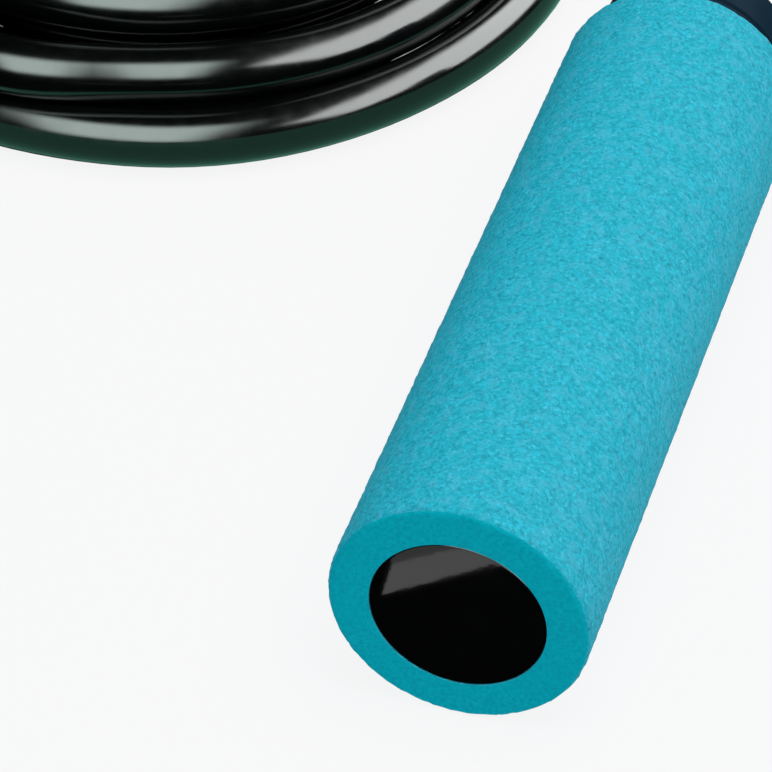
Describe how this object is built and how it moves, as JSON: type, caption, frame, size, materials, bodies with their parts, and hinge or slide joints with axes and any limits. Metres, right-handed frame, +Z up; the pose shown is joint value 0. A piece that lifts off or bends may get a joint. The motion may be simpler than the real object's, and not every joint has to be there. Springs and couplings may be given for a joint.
{
  "type": "jump rope",
  "caption": "Jump rope with foam-gripped tube handles that spin on ball bearings round the ends of a round-wound PVC rope, stored as a coil.",
  "frame": {"origin": "on the floor under the middle of the pair of handles, measured without the rope", "axes": "+X from the left handle to the right handle, +Y from the handles' rear ends to the coil behind their noses, +Z up"},
  "size_m": [0.1682, 0.2257, 0.031],
  "materials": {
    "foam": "matt closed-cell foam rubber, teal blue, fine grain",
    "rope_pvc": "black extruded PVC, glossy",
    "nose_plastic": "black moulded plastic, semi-gloss",
    "plug_plastic": "black moulded plastic, glossy",
    "bearing_steel": "ground bearing steel",
    "washer_steel": "zinc plated",
    "eyelet_brass": "plain brass",
    "ferrule_alloy": "crimped, satin"
  },
  "bodies": {
    "rope": {"rope_coil": "rope_pvc", "rope_lead_a": "rope_pvc", "rope_lead_b": "rope_pvc", "rope_ferrule_a": "ferrule_alloy", "stop_washer_a": "washer_steel", "swivel_sleeve_a": "eyelet_brass", "bearing_inner_race_a": "bearing_steel", "rope_ferrule_b": "ferrule_alloy", "stop_washer_b": "washer_steel", "swivel_sleeve_b": "eyelet_brass", "bearing_inner_race_b": "bearing_steel"},
    "handle_a": {"core_tube_a": "nose_plastic", "foam_grip_a": "foam", "nose_housing_a": "nose_plastic", "front_cover_a": "nose_plastic", "bearing_outer_race_a": "bearing_steel"},
    "cage_a": {"ball_cage_a": "bearing_steel"},
    "plug_a": {"end_plug_a": "plug_plastic"},
    "handle_b": {"core_tube_b": "nose_plastic", "foam_grip_b": "foam", "nose_housing_b": "nose_plastic", "front_cover_b": "nose_plastic", "bearing_outer_race_b": "bearing_steel"},
    "cage_b": {"ball_cage_b": "bearing_steel"},
    "plug_b": {"end_plug_b": "plug_plastic"}
  },
  "joints": [
    {"name": "handle_a_spin", "type": "hinge", "parent": "rope", "child": "handle_a", "pos_m": [0.07058, 0.05099, 0.0155], "axis": [0.2907, 0.9568, 0], "continuous": true},
    {"name": "cage_a_spin", "type": "hinge", "parent": "rope", "child": "cage_a", "pos_m": [0.07058, 0.05099, 0.0155], "axis": [0.2907, 0.9568, 0], "continuous": true},
    {"name": "plug_a_pull", "type": "slide", "parent": "handle_a", "child": "plug_a", "axis": [-0.2907, -0.9568, 0], "range_m": [0, 0.02]},
    {"name": "handle_b_spin", "type": "hinge", "parent": "rope", "child": "handle_b", "pos_m": [-0.07058, 0.05099, 0.0155], "axis": [-0.2907, 0.9568, 0], "continuous": true},
    {"name": "cage_b_spin", "type": "hinge", "parent": "rope", "child": "cage_b", "pos_m": [-0.07058, 0.05099, 0.0155], "axis": [-0.2907, 0.9568, 0], "continuous": true},
    {"name": "plug_b_pull", "type": "slide", "parent": "handle_b", "child": "plug_b", "axis": [0.2907, -0.9568, 0], "range_m": [0, 0.02]}
  ],
  "couplings": [
    {"joint": "cage_a_spin", "follows": "handle_a_spin", "ratio": 0.5862},
    {"joint": "cage_b_spin", "follows": "handle_b_spin", "ratio": 0.5862}
  ]
}
